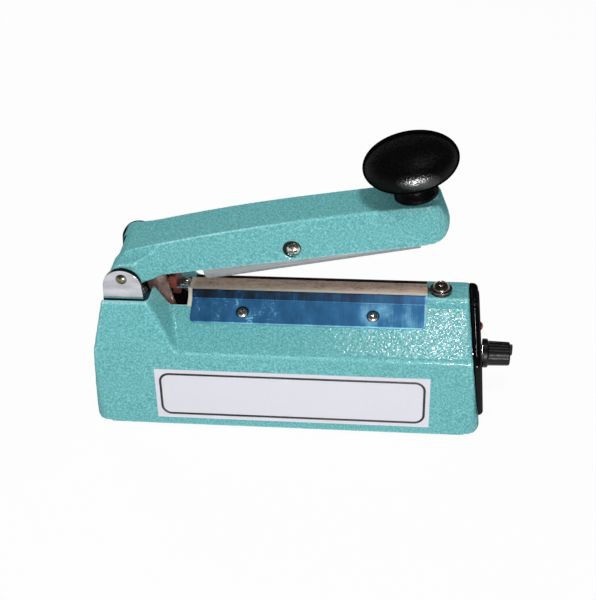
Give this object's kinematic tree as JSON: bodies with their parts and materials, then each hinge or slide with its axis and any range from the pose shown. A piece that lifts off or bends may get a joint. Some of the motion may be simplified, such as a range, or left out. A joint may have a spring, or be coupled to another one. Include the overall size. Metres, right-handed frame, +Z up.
{
  "type": "hand bag sealer",
  "caption": "Bench-top impulse sealer: a hollow painted casting with a heated seal bar, a hinged spring-up pressing arm with a mushroom grip, and an end panel with a timer knob and lamp.",
  "frame": {"origin": "middle of the whole length and width, on the counter under the feet", "axes": "+X from the hinge to the control panel, +Y to the back, +Z up"},
  "size_m": [0.2038, 0.0724, 0.1416],
  "materials": {
    "enamel": "textured enamel on a casting",
    "black_plastic": "moulded, glossy",
    "plate": "sheet with a blue film",
    "nickel": "nickel plated",
    "screws": "plated screws",
    "sheet_steel": "zinc plated sheet",
    "press_channel": "extruded",
    "silicone": "silicone strip",
    "rubber": "moulded",
    "cloth": "coated glass cloth",
    "fibre": "red fibre",
    "strip": "glass and silicone strip",
    "element": "resistance ribbon",
    "bronze": "sintered bush",
    "label": "printed label, bare",
    "lamp": "clear red lens",
    "core": "stacked laminations",
    "coil": "enamelled copper winding",
    "board": "glass laminate",
    "components": "moulded cases",
    "pillars": "turned hexagon",
    "plunger": "moulded"
  },
  "bodies": {
    "base": {"housing": "enamel", "control_panel": "black_plastic", "micro_switch": "black_plastic", "front_clamp_plate": "plate", "rear_clamp_plate": "plate", "hinge_bracket": "nickel", "hinge_pin": "nickel", "tension_leaf": "nickel", "element_clamp": "nickel", "terminal_washer": "nickel", "foot_screws": "screws", "panel_screws": "screws", "bracket_screws": "screws", "clamp_plate_screws": "screws", "right_terminal_screw": "screws", "insulator_screw": "screws", "leaf_screw": "screws", "clamp_screw": "screws", "transformer_screws": "screws", "switch_screws": "screws", "board_screws": "screws", "potentiometer_nut": "screws", "base_plate": "sheet_steel", "transformer_strap": "sheet_steel", "switch_bracket": "sheet_steel", "return_spring": "sheet_steel", "potentiometer": "sheet_steel", "rubber_feet": "rubber", "cord_grommet": "rubber", "ptfe_cloth": "cloth", "insulator_block": "fibre", "terminal_bush": "fibre", "seal_strip": "strip", "heating_element": "element", "label_plate": "label", "indicator_lamp": "lamp", "transformer_core": "core", "transformer_coil": "coil", "timer_board": "board", "relay": "components", "capacitors": "components", "board_pillars": "pillars"},
    "arm": {"arm": "enamel", "hinge_bushes": "bronze", "press_bar_screw": "screws", "press_bar_nut": "screws", "handle_knob": "black_plastic", "knob_stud": "screws", "knob_nut": "screws", "switch_lever": "nickel", "lever_screws": "screws"},
    "press_bar": {"press_bar": "press_channel", "press_pad": "silicone"},
    "timer": {"timer_knob": "black_plastic", "timer_shaft": "screws"},
    "plunger": {"switch_plunger": "plunger"}
  },
  "joints": [
    {"name": "arm_hinge", "type": "hinge", "parent": "base", "child": "arm", "pos_m": [-0.08367, 0, 0.0775], "axis": [0, 1, 0], "range_deg": [0, 9.55], "stiffness_Nm_per_rad": 1, "springref_deg": -40.11, "deforming": ["return_spring"]},
    {"name": "press_bar_rock", "type": "hinge", "parent": "arm", "child": "press_bar", "pos_m": [-0.00357, 0, 0.08991], "axis": [0, 1, 0], "range_deg": [0, 2]},
    {"name": "timer_turn", "type": "hinge", "parent": "base", "child": "timer", "pos_m": [0.09, 0, 0.025], "axis": [1, 0, 0], "range_deg": [-135, 135]},
    {"name": "switch_press", "type": "slide", "parent": "base", "child": "plunger", "axis": [1, 0, 0], "range_m": [-0.00151, 0]}
  ],
  "couplings": [
    {"joint": "press_bar_rock", "follows": "arm_hinge", "ratio": 0.20975},
    {"joint": "switch_press", "follows": "arm_hinge", "m_per_rad": -0.0090018}
  ]
}
